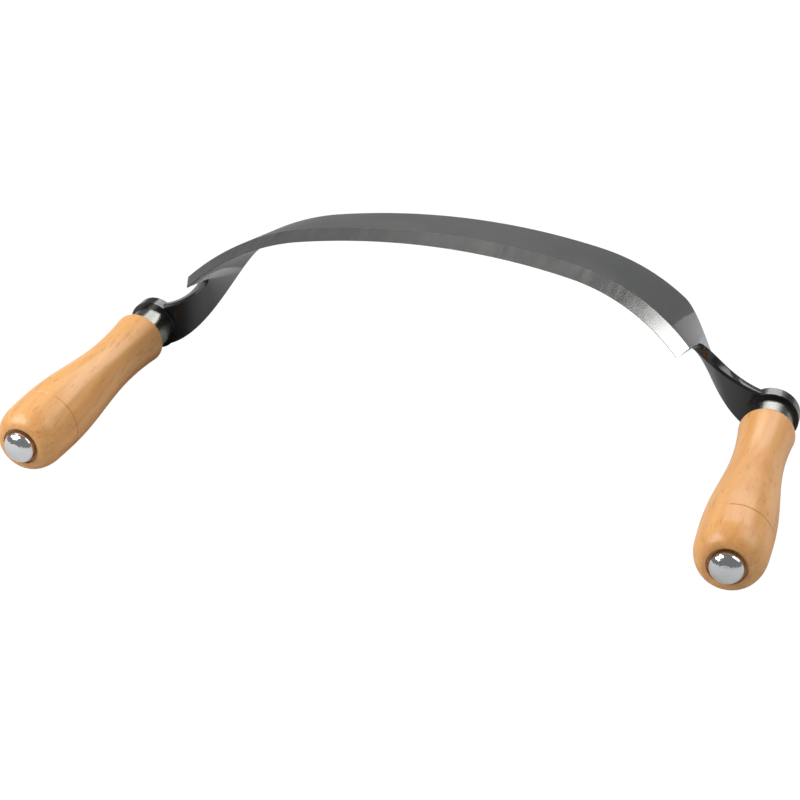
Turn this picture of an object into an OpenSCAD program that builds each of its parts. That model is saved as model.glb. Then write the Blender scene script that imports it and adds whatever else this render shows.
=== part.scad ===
// Curved drawknife: an arched steel blade whose twisted necks end in eyes, and two turned
// wooden handles, each held by a bolt through the eye, a ferrule and the whole handle.

/* [Handles] */
// Length of the wood of a handle
handle_len = 124; // [118:1:130]
// Radius of the swell near the butt
swell_r = 18.3; // [17:0.1:19]
// Radius of the waist
waist_r = 13.2; // [12.5:0.1:14]
// Radius of the front rim
rim_r = 14.6; // [14:0.1:14.8]
// Half the distance between the two butts
half_span = 186; // [182:1:190]
// Angle by which each handle opens towards its butt
splay = 4.5; // [3:0.5:6]

/* [Fittings] */
// Length of a ferrule
ferrule_len = 13.4; // [12:0.1:15]
// Outer radius of a ferrule
ferrule_r = 11.7; // [11:0.1:12.5]
// Radius of the through bolt
bolt_r = 4; // [3.5:0.1:4.5]
// Radius of the domed nut at the butt
dome_r = 8.6; // [8.5:0.1:9.5]
// Height of that dome
dome_h = 5; // [4:0.1:6]

/* [Blade] */
// Thickness of the blade
blade_t = 5.4; // [4.5:0.1:6]
// Arc length of half the cutting edge
edge_half = 143; // [138:1:146]
// Radius of the arch over its crown
crown_r = 430; // [400:5:480]
// Arc length from the crown to the shoulder bend
crown_half = 74; // [70:1:78]
// Radius of the arch at the shoulders
shoulder_r = 112; // [105:1:120]
// Backward lean of the blade
blade_lean = 16.5; // [15:0.5:18]
// Width of the ground bevel
bevel_w = 10.8; // [9:0.1:12]
// Radius of the cutting edge on the flattened blade
edge_plan_r = 1050; // [900:10:1400]
// Radius of the back edge on the flattened blade
back_plan_r = 1225; // [1000:10:1600]
// Width of the blade at its middle
blade_w = 58; // [56:0.5:60]

/* [Necks] */
// Radius of an eye
eye_r = 14; // [13.8:0.1:14.4]
// Thickness of an eye
eye_t = 6.4; // [6:0.1:7]
// Depth of the heel behind the end of the cutting edge
heel_w = 25; // [23:0.5:27]

/* [Hidden] */
$fn = 96;

// Handle profile, measured along the axis from the butt
butt_flat_r = 11;
butt_round = 14;
swell_end = 28;
waist_at = 96;
rim_round = 3;
score_at = 26;
score_w = 0.9;
score_depth = 0.5;
recess_r = 10.2;
recess_depth = 1.6;
tenon_r = 9.9;
tenon_len = ferrule_len - 1;
bolt_clear = 0.2;
sleeve_r = 6;
sleeve_len = 16;

// Fittings
ferrule_wall = 1.6;
washer_t = 1.5;
washer_r = 12;
butt_washer_r = 8.4;
head_r = 10;
head_t = 3;
head_dome = 3.6;
dome_rim = 1.2;

eye_front = handle_len + ferrule_len;
eye_back = eye_front + eye_t;
neck_front = eye_front + 0.8;

// Blade layout in the leaning frame
blade_rise = 112.4;
edge_at = 93.5;
edge_land = 0.25;
back_leaves = 122;
back_bulge = 0.8;

// Ends of the two rails of a neck, measured from the middle of the eye
front_end = [-2, 10.2];
front_fall = 15;
back_end = [0, -13.1];
back_fall = 7.5;
front_pull = [11.5, 28];
back_pull = [15.5, 32.5];
back_share = 0.27;
neck_edge = 1.2;
heel_fillet = 5;

blade_steps = 16;
leave_steps = 4;
neck_steps = 18;

function swell(a) = a < swell_end ? swell_r - 0.2*pow((swell_end - a)/(swell_end - butt_round), 2)
    : a < waist_at ? swell_r - (swell_r - waist_r)*(1 - cos(180*(a - swell_end)/(waist_at - swell_end)))/2
    : waist_r + (rim_r - waist_r)*pow((a - waist_at)/(handle_len - rim_round - waist_at), 2);

// The tool lies on the swells of its handles and on its eyes: the tilt that brings both to one plane
touch_at = 34;
rest_tilt = atan((swell(touch_at) - eye_r)/((eye_back - touch_at)*cos(splay)));
rest_h = max([for (a = [butt_round:1:60]) swell(a)*cos(rest_tilt) + a*cos(splay)*sin(rest_tilt)]);

// Arch of the blade's inner face: sideways reach, drop and slope at an arc length
shoulder_slope = crown_half/crown_r*180/PI;
function slope(s) = s < crown_half ? s/crown_r*180/PI : shoulder_slope + (s - crown_half)/shoulder_r*180/PI;
function reach(s) = s < crown_half ? crown_r*sin(slope(s))
    : crown_r*sin(shoulder_slope) + shoulder_r*(sin(slope(s)) - sin(shoulder_slope));
function drop(s) = s < crown_half ? crown_r*(1 - cos(slope(s)))
    : crown_r*(1 - cos(shoulder_slope)) + shoulder_r*(cos(shoulder_slope) - cos(slope(s)));
function lean(x, y, z) = [x, y*cos(blade_lean) + z*sin(blade_lean), z*cos(blade_lean) - y*sin(blade_lean)];
function on_blade(s, y, up) = lean(reach(s) + up*sin(slope(s)), y, blade_rise - drop(s) + up*cos(slope(s)));
function blade_normal(s) = lean(sin(slope(s)), 0, cos(slope(s)));
function blade_tangent(s) = lean(cos(slope(s)), 0, -sin(slope(s)));
ruling = lean(0, 1, 0);
function edge_y(s) = edge_at - s*s/(2*edge_plan_r);
function back_y(s) = edge_at + blade_w - s*s/(2*back_plan_r);

// Extent of the settled tool along Y, which centres it on the origin
function settled(p) = [p[0], p[1]*cos(rest_tilt) + p[2]*sin(rest_tilt),
                       p[2]*cos(rest_tilt) - p[1]*sin(rest_tilt) + rest_h];
far_y = settled(on_blade(0, back_y(0), blade_t))[1];
near_y = -(dome_h + dome_rim)*cos(splay)*cos(rest_tilt);
mid_y = (far_y + near_y)/2;

function unit(v) = v/norm(v);
function bezier(c, t) = pow(1 - t, 3)*c[0] + 3*pow(1 - t, 2)*t*c[1] + 3*(1 - t)*t*t*c[2] + t*t*t*c[3];

// Right neck: its rails run from the blade to the eye
axis_dir = [-sin(splay), cos(splay), 0];
axis_side = [cos(splay), sin(splay), 0];
neck_at = [half_span, 0, 0] + neck_front*axis_dir;
function at_eye(p) = neck_at + p[0]*axis_side + [0, 0, p[1]];
function into_eye(fall) = axis_side*cos(fall) - [0, 0, sin(fall)];
notch = on_blade(edge_half, edge_y(edge_half) + heel_w, 0);
front_rail = [notch, notch + front_pull[0]*ruling,
              at_eye(front_end) - front_pull[1]*into_eye(front_fall), at_eye(front_end)];
back_dir = unit(blade_tangent(back_leaves) - back_leaves/back_plan_r*ruling);
back_start = on_blade(back_leaves, back_y(back_leaves), 0);
back_rail = [back_start, back_start + back_pull[0]*back_dir,
             at_eye(back_end) - back_pull[1]*into_eye(back_fall), at_eye(back_end)];
function neck_f(v) = bezier(front_rail, v);
function neck_b(v) = bezier(back_rail, back_share + (1 - back_share)*v);
function neck_mid(v) = (neck_f(v) + neck_b(v))/2;
nudge = 0.02;
function neck_normal(v) = let (w = max(v, 0.03), t = neck_mid(min(w + nudge, 1)) - neck_mid(w - nudge))
    unit(cross(t, neck_b(w) - neck_f(w)));

// A ring has eight points: cutting edge or rounded front, top face, rounded back, inner face
function blade_ring(s, back, back_n) = let (
    up = blade_normal(s),
    edge = on_blade(s, edge_y(s), 0),
    mid = on_blade(s, edge_y(s) + heel_w, 0),
    rise = sqrt(bevel_w*bevel_w - blade_t*blade_t),
    out = unit(back - mid))
    [edge, edge + edge_land*up, edge + rise*ruling + blade_t*up, mid + blade_t*up,
     back + blade_t*back_n, back + blade_t/2*back_n + back_bulge*out, back, mid];
function leaving_n(k) = unit(blade_normal(back_leaves)*(1 - k) + neck_normal(0)*k);
function neck_ring(v) = let (
    n = neck_normal(v), f = neck_f(v), b = neck_b(v), out = unit(b - f),
    e = neck_edge + heel_fillet*pow(max(0, 1 - 4*v), 2))
    [f - e*out + blade_t*0.25*n, f - e*out + blade_t*0.75*n, f - 0.6*e*out + blade_t*n, f + blade_t*n,
     b + blade_t*n, b + blade_t/2*n + back_bulge*out, b, f];
half_rings = concat(
    [for (i = [0:blade_steps]) let (s = back_leaves*i/blade_steps)
        blade_ring(s, on_blade(s, back_y(s), 0), blade_normal(s))],
    [for (i = [1:leave_steps]) let (k = i/leave_steps)
        blade_ring(back_leaves + (edge_half - back_leaves)*k, bezier(back_rail, back_share*k), leaving_n(k))],
    [for (i = [0:neck_steps]) neck_ring(0.02 + 0.98*i/neck_steps)]);
function flipped(ring) = [for (p = ring) [-p[0], p[1], p[2]]];
rings = concat([for (i = [len(half_rings) - 1:-1:1]) flipped(half_rings[i])], half_rings);
corners = 8;

module strip() {
    last = (len(rings) - 1)*corners;
    faces = concat(
        [[for (j = [corners - 1:-1:0]) j]],
        [[for (j = [0:corners - 1]) last + j]],
        [for (i = [0:len(rings) - 2], j = [0:corners - 1])
            let (a = i*corners + j, b = i*corners + (j + 1)%corners)
            each [[a, b, b + corners], [a, b + corners, a + corners]]]);
    polyhedron(points = [for (r = rings) each r], faces = faces);
}

// Puts a piece drawn along +Z from the butt onto a handle's axis; side is -1 or 1
module on_axis(side) {
    translate([side*half_span, 0, 0]) rotate([0, 0, side*splay]) rotate([-90, 0, 0]) children();
}

module at_rest() {
    translate([0, -mid_y, rest_h]) rotate([-rest_tilt, 0, 0]) children();
}

module both_axes() {
    for (side = [-1, 1]) on_axis(side) children();
}

module blade() {
    color("dimgray") at_rest() difference() {
        union() {
            strip();
            both_axes() translate([0, 0, eye_front]) cylinder(r = eye_r, h = eye_t);
        }
        both_axes() translate([0, 0, eye_front - 5]) cylinder(r = bolt_r + bolt_clear, h = eye_t + 10);
    }
}

butt_curve = [for (t = [0:7.5:90])
    [butt_flat_r + (swell(butt_round) - butt_flat_r)*sin(t), butt_round*(1 - cos(t))]];
swell_before = [for (a = [17:3:score_at - score_w]) [swell(a), a]];
score = [[swell(score_at), score_at - score_w/2], [swell(score_at) - score_depth, score_at],
         [swell(score_at), score_at + score_w/2]];
swell_after = [for (a = [swell_end + 2:4:handle_len - rim_round]) [swell(a), a]];
rim_curve = [for (t = [0:15:90]) [rim_r - rim_round*(1 - cos(t)), handle_len - rim_round*(1 - sin(t))]];

module handle(side) {
    color("burlywood") at_rest() on_axis(side) difference() {
        union() {
            rotate_extrude() polygon(concat([[0, 0]], butt_curve, swell_before, score, swell_after, rim_curve,
                                            [[0, handle_len]]));
            cylinder(r = tenon_r, h = handle_len + tenon_len);
        }
        translate([0, 0, -1]) cylinder(r = recess_r, h = recess_depth + 1);
        translate([0, 0, -1]) cylinder(r = sleeve_r + bolt_clear, h = sleeve_len + 3);
        cylinder(r = bolt_r + bolt_clear, h = eye_front + 1);
    }
}

module ferrule(side) {
    color("silver") at_rest() on_axis(side) translate([0, 0, handle_len]) difference() {
        cylinder(r = ferrule_r, h = ferrule_len);
        translate([0, 0, -1]) cylinder(r = ferrule_r - ferrule_wall, h = ferrule_len + 2);
    }
}

module bolt_washer(side) {
    color("lightgray") at_rest() on_axis(side) translate([0, 0, eye_back]) difference() {
        cylinder(r = washer_r, h = washer_t);
        translate([0, 0, -1]) cylinder(r = bolt_r + bolt_clear, h = washer_t + 2);
    }
}

// Round-headed bolt: the head stands behind the eye, the shank ends inside the domed nut
module tang_bolt(side) {
    head_at = eye_back + washer_t;
    color("lightgray") at_rest() on_axis(side) {
        translate([0, 0, 1]) cylinder(r = bolt_r, h = head_at);
        translate([0, 0, head_at]) rotate_extrude() polygon(concat([[0, 0]],
            [for (t = [0:10:90]) [head_r*cos(t), head_t + head_dome*sin(t)]], [[0, 0]]));
        translate([0, 0, head_at]) cylinder(r = head_r, h = head_t);
    }
}

module butt_washer(side) {
    color("lightgray") at_rest() on_axis(side) difference() {
        cylinder(r = butt_washer_r, h = recess_depth);
        translate([0, 0, -1]) cylinder(r = sleeve_r + bolt_clear, h = recess_depth + 2);
    }
}

// Domed nut with a blind threaded sleeve that reaches into the handle
module dome_nut(side) {
    color("gainsboro") at_rest() on_axis(side) difference() {
        union() {
            rotate_extrude() polygon(concat([[0, 0], [dome_r, 0]],
                [for (t = [0:10:90]) [dome_r*cos(t), -dome_rim - dome_h*sin(t)]]));
            cylinder(r = sleeve_r, h = sleeve_len);
        }
        translate([0, 0, -dome_rim]) cylinder(r = bolt_r + bolt_clear/4, h = sleeve_len + dome_rim + 1);
    }
}

blade();
handle(-1);  // handle_left
handle(1);  // handle_right
ferrule(-1);  // ferrule_left
ferrule(1);  // ferrule_right
tang_bolt(-1);  // tang_bolt_left
tang_bolt(1);  // tang_bolt_right
bolt_washer(-1);  // bolt_washer_left
bolt_washer(1);  // bolt_washer_right
butt_washer(-1);  // butt_washer_left
butt_washer(1);  // butt_washer_right
dome_nut(-1);  // dome_nut_left
dome_nut(1);  // dome_nut_right
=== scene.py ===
# %% [markdown]
# Curved drawknife, dressed over its CAD frame
#
# A drawknife is pulled towards the user with both hands. This one has an arched blade for hollowing. The CAD
# pack gives its pieces, in metres, standing on the floor. This script keeps the turned and bolted pieces,
# builds a finer blade over the faceted one, and gives every surface its material. The camera stands where
# the photographer's did.

# %% load the frame
import math
import bpy
from mathutils import Matrix, Vector


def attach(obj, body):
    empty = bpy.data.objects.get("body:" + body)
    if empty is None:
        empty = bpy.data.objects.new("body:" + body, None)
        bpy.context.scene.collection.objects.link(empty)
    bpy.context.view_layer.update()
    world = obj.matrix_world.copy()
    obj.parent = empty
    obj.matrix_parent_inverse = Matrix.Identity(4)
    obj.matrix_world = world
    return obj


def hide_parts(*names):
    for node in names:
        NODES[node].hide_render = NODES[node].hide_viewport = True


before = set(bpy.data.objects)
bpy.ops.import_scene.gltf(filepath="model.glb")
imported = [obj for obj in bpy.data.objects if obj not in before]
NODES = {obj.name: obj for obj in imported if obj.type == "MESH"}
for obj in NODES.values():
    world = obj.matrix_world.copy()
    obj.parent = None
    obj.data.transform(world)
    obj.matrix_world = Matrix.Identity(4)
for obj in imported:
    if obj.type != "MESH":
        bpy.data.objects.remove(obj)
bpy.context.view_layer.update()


print("nodes", sorted(NODES))

# %% [markdown]
# Shader helper
#
# A material is a graph of nodes, and a graph is hard to read as code. So one small class wraps a socket and
# overloads the operators, and shader maths then reads as ordinary arithmetic, as in 1 - mask. Every other
# node comes from the method node, which takes its type, its settings and its sockets.


# %% shader helper
class Shader:
    def __init__(self, name, color, roughness, metallic=0.0, coat=0.0):
        self.mat = bpy.data.materials.new(name)
        self.mat.use_nodes = True
        self.tree = self.mat.node_tree
        self.bsdf = self.tree.nodes["Principled BSDF"]
        self.bsdf.inputs["Base Color"].default_value = (*color, 1)
        self.bsdf.inputs["Roughness"].default_value = roughness
        self.bsdf.inputs["Metallic"].default_value = metallic
        self.bsdf.inputs["Coat Weight"].default_value = coat
        self.bsdf.inputs["Coat Roughness"].default_value = 0.08

    def node(self, kind, inputs, out=0, **settings):
        made = self.tree.nodes.new(kind)
        for key, value in settings.items():
            setattr(made, key, value)
        for key, value in inputs.items():
            self.put(made.inputs[key], value)
        return Socket(self, made.outputs[out])

    def put(self, target, value):
        if isinstance(value, Socket):
            self.tree.links.new(value.out, target)
        else:
            target.default_value = value

    def coords(self):
        return self.node("ShaderNodeTexCoord", {}, out="Object")

    def noise(self, scale, stretch=(1, 1, 1), detail=4.0):
        at = self.node("ShaderNodeMapping", {"Vector": self.coords(), "Scale": stretch})
        return self.node("ShaderNodeTexNoise", {"Vector": at, "Scale": scale, "Detail": detail})

    def ramp(self, value, low, high):
        return self.node("ShaderNodeMapRange", {"Value": value, "From Min": low, "From Max": high})

    def mix(self, share, a, b):
        """Colour a where share is 0 and colour b where it is 1. A Mix node's colour sockets are numbered."""
        return self.node("ShaderNodeMix", {0: share, 6: a, 7: b}, out=2, data_type="RGBA")

    def bump(self, height, strength, distance):
        return self.node("ShaderNodeBump", {"Height": height, "Strength": strength, "Distance": distance})

    def drive(self, **inputs):
        for key, value in inputs.items():
            self.put(self.bsdf.inputs[key.replace("_", " ")], value)


class Socket:
    def __init__(self, shader, out):
        self.shader = shader
        self.out = out

    def maths(self, operation, first, second):
        return self.shader.node("ShaderNodeMath", {0: first, 1: second}, operation=operation)

    def __add__(self, other):
        return self.maths("ADD", self, other)

    def __sub__(self, other):
        return self.maths("SUBTRACT", self, other)

    def __mul__(self, other):
        return self.maths("MULTIPLY", self, other)

    def __radd__(self, other):
        return self.maths("ADD", other, self)

    def __rsub__(self, other):
        return self.maths("SUBTRACT", other, self)

    def __rmul__(self, other):
        return self.maths("MULTIPLY", other, self)

    def __abs__(self):
        return self.shader.node("ShaderNodeMath", {0: self}, operation="ABSOLUTE")


print("shader helper ready")


# %% [markdown]
# Steel
#
# The body of the blade is satin steel with fine lengthwise brushing, and the bevel is ground brighter, across
# the edge. The necks and eyes are dipped in glossy black lacquer. The forging is one piece, so a mask on the
# distance from the middle of the tool parts steel from lacquer, and it falls alike on both sides. A painted
# texture would do it too, but the mask needs no unwrapping. The fittings are turned steel, dull or plated.

# %% steel materials
LACQUER_FROM, LACQUER_BLEND, LACQUER_WOBBLE = 0.127, 0.0008, 0.0012
STEEL = (0.125, 0.127, 0.128, 1)
STEEL_DARK = (0.075, 0.077, 0.078, 1)
LACQUER = (0.006, 0.006, 0.007, 1)


def blade_material():
    s = Shader("blade_body", STEEL[:3], 0.36, metallic=1.0)
    brushing = s.noise(30, (2, 40, 40), 6.0)
    clouds = s.noise(22, detail=3.0)
    x = s.node("ShaderNodeSeparateXYZ", {"Vector": s.coords()})
    wobble = (s.noise(180, detail=2.0) - 0.5) * LACQUER_WOBBLE
    black = s.ramp(abs(x) + wobble, LACQUER_FROM, LACQUER_FROM + LACQUER_BLEND)
    steel = s.mix(s.ramp(brushing + clouds, 0.7, 1.3), STEEL_DARK, STEEL)
    s.drive(Base_Color=s.mix(black, steel, LACQUER),
            Metallic=1 - black,
            Roughness=0.36 + 0.12 * brushing - 0.2 * black,
            Coat_Weight=0.4 * black,
            Normal=s.bump(brushing, 0.12, 0.0002))
    return s.mat


def bevel_material():
    s = Shader("ground_bevel", (0.40, 0.40, 0.39), 0.2, metallic=1.0)
    grinding = s.noise(30, (12, 2, 2), 3.0)
    s.drive(Base_Color=s.mix(grinding, (0.38, 0.38, 0.37, 1), (0.50, 0.50, 0.48, 1)),
            Roughness=0.16 + 0.14 * grinding,
            Normal=s.bump(grinding, 0.04, 0.0001))
    return s.mat


def shade(color, factor):
    return (*(c * factor for c in color), 1)


def steel_material(name, color, roughness, stretch):
    s = Shader(name, color, roughness, metallic=1.0)
    turning = s.noise(40, stretch)
    s.drive(Base_Color=s.mix(turning, shade(color, 0.8), shade(color, 1.15)),
            Roughness=(roughness - 0.07) + 0.15 * turning,
            Normal=s.bump(turning, 0.06, 0.0001))
    return s.mat


blade_body = blade_material()
ground_bevel = bevel_material()
ferrule_steel = steel_material("ferrule_steel", (0.24, 0.245, 0.22), 0.26, (2, 45, 2))
zinc_steel = steel_material("zinc_steel", (0.36, 0.37, 0.38), 0.38, (8, 8, 8))
plated_steel = steel_material("plated_steel", (0.70, 0.71, 0.72), 0.12, (1, 1, 1))
print("steel", [m.name for m in (blade_body, ground_bevel, ferrule_steel, zinc_steel, plated_steel)])

# %% [markdown]
# Beech
#
# The handles are warm pale beech under a thin satin lacquer. Three noises make it, all stretched along the
# handle: soft bands, fine grain lines, and the short dark flecks by which beech is known. Noise is used in
# place of a wave, because beech has no bold rings.

# %% beech material
WOOD = (0.76, 0.40, 0.14, 1)
WOOD_DEEP = (0.60, 0.27, 0.075, 1)
FLECK = (0.34, 0.13, 0.045, 1)


def beech_material():
    s = Shader("beech", WOOD[:3], 0.40, coat=0.12)
    bands = s.noise(35, (1, 0.12, 1), 3.0)
    grain = s.noise(220, (1, 0.05, 1), 5.0)
    flecks = s.ramp(s.noise(700, (1, 0.14, 1), 1.0), 0.62, 0.72)
    wood = s.mix(s.ramp(bands + grain, 0.75, 1.3), WOOD, WOOD_DEEP)
    s.drive(Base_Color=s.mix(0.35 * flecks, wood, FLECK),
            Roughness=0.36 + 0.12 * grain,
            Normal=s.bump(grain, 0.05, 0.0002))
    return s.mat


beech = beech_material()
print("wood", beech.name)

# %% [markdown]
# The blade's own curve
#
# The blade is a strip bent to an arch on a leaning cylinder, and its ends narrow and twist by a right angle
# into the necks. It could be modelled by hand with extrusions and turns, but the twist has to meet both the
# arch and the eye exactly. So its sections are computed, from the same dimensions as the CAD blade, in
# millimetres, with many more sections than there, so that it reads as one smooth forging.

# %% blade curve
HALF_SPAN, SPLAY, LEAN = 186.0, math.radians(4.5), math.radians(16.5)
HANDLE_LEN, FERRULE_LEN, EYE_R, EYE_T = 124.0, 13.4, 14.0, 6.4
THICK, BEVEL, HEEL, EDGE_HALF, LEAVES = 5.4, 10.8, 25.0, 143.0, 122.0
CROWN_R, CROWN_HALF, SHOULDER_R = 430.0, 74.0, 112.0
RISE, EDGE_AT, WIDTH, EDGE_PLAN, BACK_PLAN = 112.4, 93.5, 58.0, 1050.0, 1225.0
LAND, BULGE, SHARE, NECK_EDGE, FILLET = 0.25, 0.8, 0.27, 1.2, 5.0
FRONT_END, FRONT_FALL, FRONT_PULL = (-2.0, 10.2), math.radians(15), (11.5, 28.0)
BACK_END, BACK_FALL, BACK_PULL = (0.0, -13.1), math.radians(7.5), (15.5, 32.5)
PLATE_INSET, FIRST_NORMAL, NUDGE = 0.8, 0.03, 0.02
EYE_FRONT = HANDLE_LEN + FERRULE_LEN
EYE_BACK = EYE_FRONT + EYE_T


def lean(x, y, z):
    return Vector((x, y * math.cos(LEAN) + z * math.sin(LEAN), z * math.cos(LEAN) - y * math.sin(LEAN)))


CROWN_SLOPE = CROWN_HALF / CROWN_R


def slope(s):
    """Slope of the arch, in radians, at arc length s from the crown."""
    return s / CROWN_R if s < CROWN_HALF else CROWN_SLOPE + (s - CROWN_HALF) / SHOULDER_R


def on_blade(s, y, up=0.0):
    """The point at arc length s, width y and height up over the blade's inner face."""
    a, k = slope(s), CROWN_SLOPE
    if s < CROWN_HALF:
        reach, drop = CROWN_R * math.sin(a), CROWN_R * (1 - math.cos(a))
    else:
        reach = CROWN_R * math.sin(k) + SHOULDER_R * (math.sin(a) - math.sin(k))
        drop = CROWN_R * (1 - math.cos(k)) + SHOULDER_R * (math.cos(k) - math.cos(a))
    return lean(reach + up * math.sin(a), y, RISE - drop + up * math.cos(a))


RULING = lean(0, 1, 0)
AXIS = Vector((-math.sin(SPLAY), math.cos(SPLAY), 0))
SIDE = Vector((math.cos(SPLAY), math.sin(SPLAY), 0))
NECK_AT = Vector((HALF_SPAN, 0, 0)) + (EYE_FRONT + PLATE_INSET) * AXIS


def edge_y(s):
    return EDGE_AT - s * s / (2 * EDGE_PLAN)


def back_y(s):
    return EDGE_AT + WIDTH - s * s / (2 * BACK_PLAN)


def normal(s):
    return lean(math.sin(slope(s)), 0, math.cos(slope(s)))


def rail(start, way, pull, end, fall):
    """Four control points of an edge of the neck, from the blade to a place measured from the eye."""
    last = NECK_AT + end[0] * SIDE + Vector((0, 0, end[1]))
    inward = SIDE * math.cos(fall) - Vector((0, 0, math.sin(fall)))
    return [start, start + pull[0] * way, last - pull[1] * inward, last]


def bezier(c, t):
    u = 1 - t
    return u**3 * c[0] + 3 * u * u * t * c[1] + 3 * u * t * t * c[2] + t**3 * c[3]


LEAVE_DIR = (lean(math.cos(slope(LEAVES)), 0, -math.sin(slope(LEAVES)))
             - LEAVES / BACK_PLAN * RULING).normalized()
FRONT = rail(on_blade(EDGE_HALF, edge_y(EDGE_HALF) + HEEL), RULING, FRONT_PULL, FRONT_END, FRONT_FALL)
BACK = rail(on_blade(LEAVES, back_y(LEAVES)), LEAVE_DIR, BACK_PULL, BACK_END, BACK_FALL)


print("blade from", tuple(round(c, 1) for c in BACK[0]), "to the eye at", tuple(round(c, 1) for c in NECK_AT))


# %% blade sections
def neck_f(v):
    return bezier(FRONT, v)


def neck_b(v):
    return bezier(BACK, SHARE + (1 - SHARE) * v)


def neck_normal(v):
    w = max(v, FIRST_NORMAL)
    a, b = min(w + NUDGE, 1), w - NUDGE
    along = (neck_f(a) + neck_b(a) - neck_f(b) - neck_b(b)) / 2
    return along.cross(neck_b(w) - neck_f(w)).normalized()


def blade_ring(s, back, back_n):
    """Eight corners: cutting edge, its land, top of the bevel, top face, rounded back, inner face."""
    up, mid = normal(s), on_blade(s, edge_y(s) + HEEL)
    edge, out = on_blade(s, edge_y(s)), (back - mid).normalized()
    rise = math.sqrt(BEVEL**2 - THICK**2)
    return [edge, edge + LAND * up, edge + rise * RULING + THICK * up, mid + THICK * up,
            back + THICK * back_n, back + THICK / 2 * back_n + BULGE * out, back, mid]


def neck_ring(v):
    """Eight corners in the same order, with a rounded front where the blade has its bevel."""
    n, f, b = neck_normal(v), neck_f(v), neck_b(v)
    out, e = (b - f).normalized(), NECK_EDGE + FILLET * max(0, 1 - 4 * v) ** 2
    return [f - e * out + THICK * 0.25 * n, f - e * out + THICK * 0.75 * n, f - 0.6 * e * out + THICK * n,
            f + THICK * n, b + THICK * n, b + THICK / 2 * n + BULGE * out, b, f]


print("corners in a section", len(blade_ring(0, on_blade(0, back_y(0)), normal(0))))

# %% [markdown]
# Settling on the bench
#
# Laid down, the tool touches the bench along the swells of its handles and with its two eyes, so it tips
# forward by about two degrees. The blade is drawn level and then gets the same tip and shift as the CAD
# pieces. Working it out from the handle's own curve keeps the two in step.

# %% settling
SWELL_R, WAIST_R, SWELL_END, WAIST_AT = 18.3, 13.2, 28.0, 96.0
BUTT_ROUND, BUTT_EASE, TOUCH_AT, SWELL_SEARCH_END = 14, 0.2, 34, 61
NUT_HEIGHT = 6.2
METRES = Matrix.Scale(0.001, 4)


def swell(a):
    """Radius of the handle at a distance a from its butt."""
    if a < SWELL_END:
        return SWELL_R - BUTT_EASE * ((SWELL_END - a) / BUTT_ROUND) ** 2
    turn = math.pi * (a - SWELL_END) / (WAIST_AT - SWELL_END)
    return SWELL_R - (SWELL_R - WAIST_R) * (1 - math.cos(turn)) / 2


TILT = math.atan((swell(TOUCH_AT) - EYE_R) / ((EYE_BACK - TOUCH_AT) * math.cos(SPLAY)))
REST_H = max(swell(a) * math.cos(TILT) + a * math.cos(SPLAY) * math.sin(TILT)
             for a in range(BUTT_ROUND, SWELL_SEARCH_END))
FAR = on_blade(0, back_y(0), THICK)
FAR_Y = FAR.y * math.cos(TILT) + FAR.z * math.sin(TILT)
NEAR_Y = -NUT_HEIGHT * math.cos(SPLAY) * math.cos(TILT)
SETTLE = (METRES @ Matrix.Translation((0, -(FAR_Y + NEAR_Y) / 2, REST_H))
          @ Matrix.Rotation(-TILT, 4, "X"))
print("tips forward by", round(math.degrees(TILT), 2), "degrees")

# %% [markdown]
# Skinning the blade
#
# Every section has eight corners, so neighbours are joined corner to corner with four-sided faces, and the
# two ends are closed. That gives one closed strip. The strip of faces at the bevel gets the ground material.

# %% blade strip
BLADE_STEPS, LEAVE_STEPS, NECK_STEPS, CORNERS = 64, 16, 56, 8
BEVEL_STRIP, NECK_START = 1, 0.02

half = []
for i in range(BLADE_STEPS + 1):
    s = LEAVES * i / BLADE_STEPS
    half.append(blade_ring(s, on_blade(s, back_y(s)), normal(s)))
for i in range(1, LEAVE_STEPS + 1):
    k = i / LEAVE_STEPS
    turned = (normal(LEAVES) * (1 - k) + neck_normal(0) * k).normalized()
    half.append(blade_ring(LEAVES + (EDGE_HALF - LEAVES) * k, bezier(BACK, SHARE * k), turned))
for i in range(NECK_STEPS + 1):
    half.append(neck_ring(NECK_START + (1 - NECK_START) * i / NECK_STEPS))
flipped = [[Vector((-p.x, p.y, p.z)) for p in ring] for ring in half[:0:-1]]
rings = flipped + half

points = [SETTLE @ p for ring in rings for p in ring]
faces = [tuple(range(CORNERS)), tuple(len(points) - 1 - j for j in range(CORNERS))]
on_bevel = [0, 0]
first_blade, last_blade = NECK_STEPS + 1, len(rings) - NECK_STEPS - 3
for i in range(len(rings) - 1):
    for j in range(CORNERS):
        a, b = i * CORNERS + j, i * CORNERS + (j + 1) % CORNERS
        faces.append((a, a + CORNERS, b + CORNERS, b))
        on_bevel.append(1 if j == BEVEL_STRIP and first_blade <= i <= last_blade else 0)

mesh = bpy.data.meshes.new("drawknife_blade")
mesh.from_pydata(points, [], faces)
blade = bpy.data.objects.new("drawknife_blade", mesh)
bpy.context.scene.collection.objects.link(blade)
mesh.materials.append(blade_body)
mesh.materials.append(ground_bevel)
for polygon, index in zip(mesh.polygons, on_bevel):
    polygon.material_index = index


def pick(obj):
    bpy.ops.object.select_all(action="DESELECT")
    obj.select_set(True)
    bpy.context.view_layer.objects.active = obj


pick(blade)
bpy.ops.object.mode_set(mode="EDIT")
bpy.ops.mesh.select_all(action="SELECT")
bpy.ops.mesh.normals_make_consistent(inside=False)
bpy.ops.object.mode_set(mode="OBJECT")
print("blade strip", len(points), "points")

# %% [markdown]
# Eyes
#
# Each neck ends in a round eye, forged in one with it and drilled for the bolt. A cylinder is added at its
# place on the handle's axis and joined with a Boolean modifier, and a thinner one cuts the hole. Joining is
# chosen over leaving two shells in one another, so that the blade stays one clean solid.

# %% eyes
BOLT_HOLE, DRILL_PAST, SMOOTH_BELOW = 4.2, 5, math.radians(22)


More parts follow.
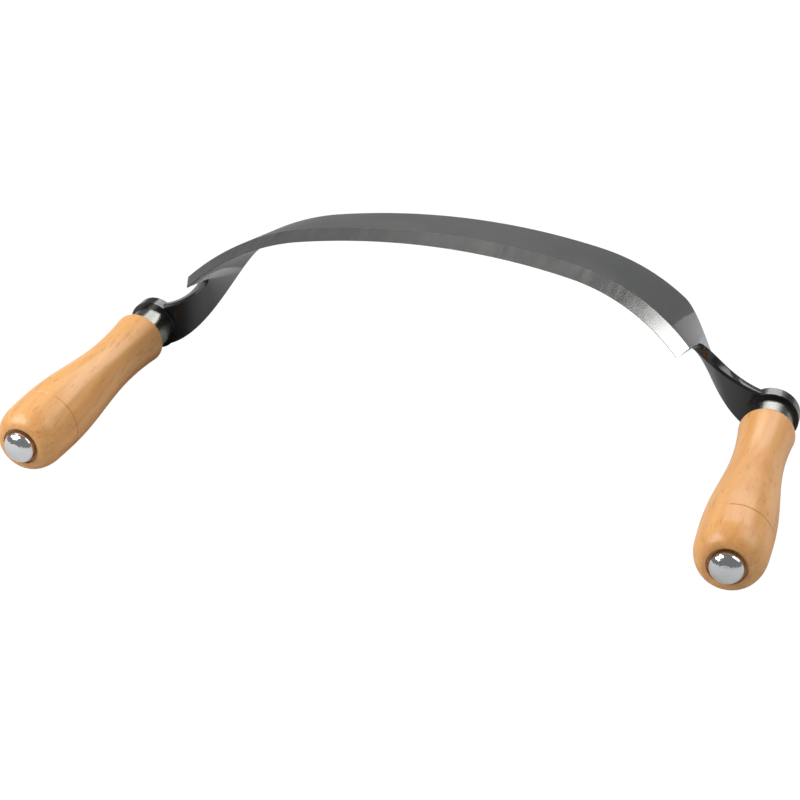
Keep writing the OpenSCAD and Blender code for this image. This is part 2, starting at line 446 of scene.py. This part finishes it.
def eye_cylinder(side, radius, start, length):
    """A cylinder on a handle's axis, from start along it, in millimetres."""
    middle = Vector((HALF_SPAN, 0, 0)) + (start + length / 2) * AXIS
    middle.x *= side
    bpy.ops.object.select_all(action="DESELECT")
    bpy.ops.mesh.primitive_cylinder_add(vertices=128, radius=radius, depth=length)
    made = bpy.context.active_object
    turn = Matrix.Rotation(side * SPLAY, 4, "Z") @ Matrix.Rotation(-math.pi / 2, 4, "X")
    made.data.transform(SETTLE @ Matrix.Translation(middle) @ turn)
    return made


def combine(tool, operation):
    pick(blade)
    bpy.ops.object.modifier_add(type="BOOLEAN")
    made = blade.modifiers[-1]
    made.operation, made.object, made.solver = operation, tool, "EXACT"
    bpy.ops.object.modifier_apply(modifier=made.name)
    bpy.data.objects.remove(tool)


for side in (-1, 1):
    combine(eye_cylinder(side, EYE_R, EYE_FRONT, EYE_T), "UNION")
    combine(eye_cylinder(side, BOLT_HOLE, EYE_FRONT - DRILL_PAST, EYE_T + 2 * DRILL_PAST), "DIFFERENCE")
pick(blade)
bpy.ops.object.shade_smooth_by_angle(angle=SMOOTH_BELOW)
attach(blade, "root")
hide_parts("blade")
print("blade", len(blade.data.polygons), "faces")

# %% [markdown]
# Dressing the CAD pieces
#
# Handles, ferrules, bolts, washers and nuts are turned shapes, which CAD gives exactly. Building them again
# would gain nothing, so they stay and only get their materials.

# %% node materials
FINISH = {"handle": beech, "ferrule": ferrule_steel, "tang_bolt": zinc_steel,
          "bolt_washer": zinc_steel, "butt_washer": zinc_steel, "dome_nut": plated_steel}
for name, node in NODES.items():
    kind = name.rsplit("_", 1)[0]
    if kind in FINISH:
        node.data.materials.clear()
        node.data.materials.append(FINISH[kind])
        print(name, "gets", FINISH[kind].name)

# %% [markdown]
# Floor and world
#
# The photograph has a plain white ground. The floor shows that white straight to the camera, with an
# emission that only camera rays meet, and is mid-grey to all other rays, so it lights the tool gently from
# below. The camera sees no shadow on it. The world is a dim even white, which keeps the steel dark.

# %% floor and world
bpy.ops.object.select_all(action="DESELECT")
bpy.ops.mesh.primitive_plane_add(size=12, location=(0, 0, 0))
floor = bpy.context.active_object
floor.name = "floor"
BLACK, GREY, WHITE = (0, 0, 0, 1), (0.55, 0.55, 0.55, 1), (1, 1, 1, 1)
paper = Shader("paper", (0.85, 0.85, 0.85), 0.9)
paper.bsdf.inputs["Emission Strength"].default_value = 1.0
to_camera = paper.node("ShaderNodeLightPath", {}, out="Is Camera Ray")
paper.drive(Emission_Color=paper.mix(to_camera, BLACK, WHITE),
            Base_Color=paper.mix(to_camera, GREY, BLACK))
floor.data.materials.append(paper.mat)

world = bpy.data.worlds.new("studio")
bpy.context.scene.world = world
world.use_nodes = True
world.node_tree.nodes["Background"].inputs["Color"].default_value = (0.9, 0.9, 0.92, 1)
world.node_tree.nodes["Background"].inputs["Strength"].default_value = 0.25
bpy.context.scene.view_settings.view_transform = "Standard"
print("floor", tuple(floor.dimensions))

# %% [markdown]
# Lamps
#
# Three large soft lamps stand left, right and behind. Steel shows what it mirrors more than its own colour,
# so their places matter: the right lamp is where the right end of the bevel mirrors it.


# %% lamps
AIM = (0, 0, 0.03)


def lamp(name, at, size, power):
    data = bpy.data.lights.new(name, "AREA")
    data.shape, data.size, data.size_y, data.energy = "RECTANGLE", size[0], size[1], power
    made = bpy.data.objects.new(name, data)
    made.location = at
    made.rotation_euler = (Vector(AIM) - Vector(at)).to_track_quat("-Z", "Y").to_euler()
    bpy.context.scene.collection.objects.link(made)


lamp("key", (-0.9, -0.5, 1.1), (1.2, 1.0), 26)
lamp("fill", (1.1, 0.4, 1.0), (0.9, 1.0), 10)
lamp("back", (0.1, 1.2, 0.8), (1.4, 0.4), 8)

# %% [markdown]
# Camera
#
# The view was found by fitting the tool's known curves to the photograph: a long lens, 22 degrees to the
# right and 31 degrees above. The first three columns of the matrix turn the camera and the last places it.

# %% camera
camera = bpy.data.objects.new("camera", bpy.data.cameras.new("camera"))
camera.matrix_world = Matrix((
    (0.935445, -0.145324, 0.322217, 0.400596),
    (0.349057, 0.523415, -0.777301, -0.996012),
    (-0.055693, 0.839594, 0.540352, 0.715706),
    (0.0, 0.0, 0.0, 1.0),
))
camera.data.lens, camera.data.shift_x = 110.97, 0.0066
bpy.context.scene.collection.objects.link(camera)
bpy.context.scene.camera = camera
print("camera at", tuple(round(c, 3) for c in camera.matrix_world.translation))
